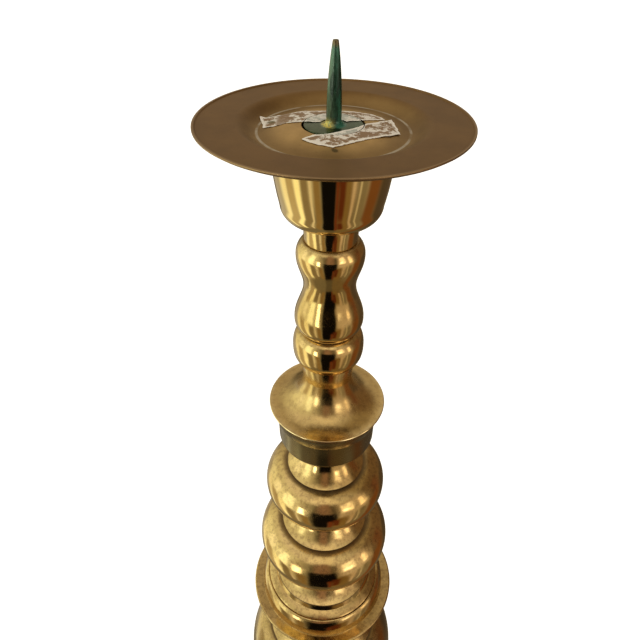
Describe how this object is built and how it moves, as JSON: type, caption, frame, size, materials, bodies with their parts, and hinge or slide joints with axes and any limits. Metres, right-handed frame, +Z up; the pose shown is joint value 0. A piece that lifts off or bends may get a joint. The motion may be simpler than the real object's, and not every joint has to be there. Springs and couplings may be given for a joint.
{
  "type": "pricket candlestick",
  "caption": "Tall turned brass floor candlestick with ring knops, a cup, a loose drip pan and a spike that screws in for a large candle.",
  "frame": {"origin": "on the floor, on the axis of the stem", "axes": "+Z up along the stem, and the picture is taken from -Y"},
  "size_m": [0.336, 0.336, 1.1922],
  "materials": {
    "brass": "polished, slightly tarnished",
    "pan_brass": "satin, browned",
    "verdigris": "green patina",
    "tape": "torn paper tape",
    "steel": "plain",
    "felt": "matte felt"
  },
  "bodies": {
    "stem": {"floor_pad_1": "felt", "floor_pad_2": "felt", "floor_pad_3": "felt", "base_foot": "brass", "base_dome": "brass", "base_neck": "brass", "lower_ring_knop": "brass", "shaft_neck": "brass", "stepped_knop": "brass", "lower_neck": "brass", "middle_ring_knop": "brass", "middle_neck": "brass", "upper_ring_knop": "brass", "upper_neck": "brass", "stepped_collar": "brass", "flared_disc": "brass", "ball_knop": "brass", "vase_knop": "brass", "cup_ring": "brass", "cup_bowl": "brass", "cup_post": "brass", "tie_rod": "steel", "clamp_bar": "steel", "nut_washer": "steel", "rod_nut": "steel"},
    "pan": {"drip_pan": "pan_brass", "tape_back_pan": "tape", "tape_front_pan": "tape"},
    "washer": {"pricket_washer": "steel"},
    "pricket": {"pricket": "verdigris", "tape_back_flange": "tape", "tape_front_flange": "tape"}
  },
  "joints": [
    {"name": "pan_lift", "type": "slide", "parent": "stem", "child": "pan", "axis": [0, 0, 1], "range_m": [0, 0.08]},
    {"name": "pricket_lift", "type": "slide", "parent": "stem", "child": "washer", "axis": [0, 0, 1], "range_m": [0, 0.015]},
    {"name": "pricket_turn", "type": "hinge", "parent": "washer", "child": "pricket", "pos_m": [0, 0, 1.12], "axis": [0, 0, 1], "range_deg": [0, 4320]}
  ],
  "couplings": [
    {"joint": "pricket_turn", "follows": "pricket_lift", "rad_per_m": 5026.5}
  ]
}
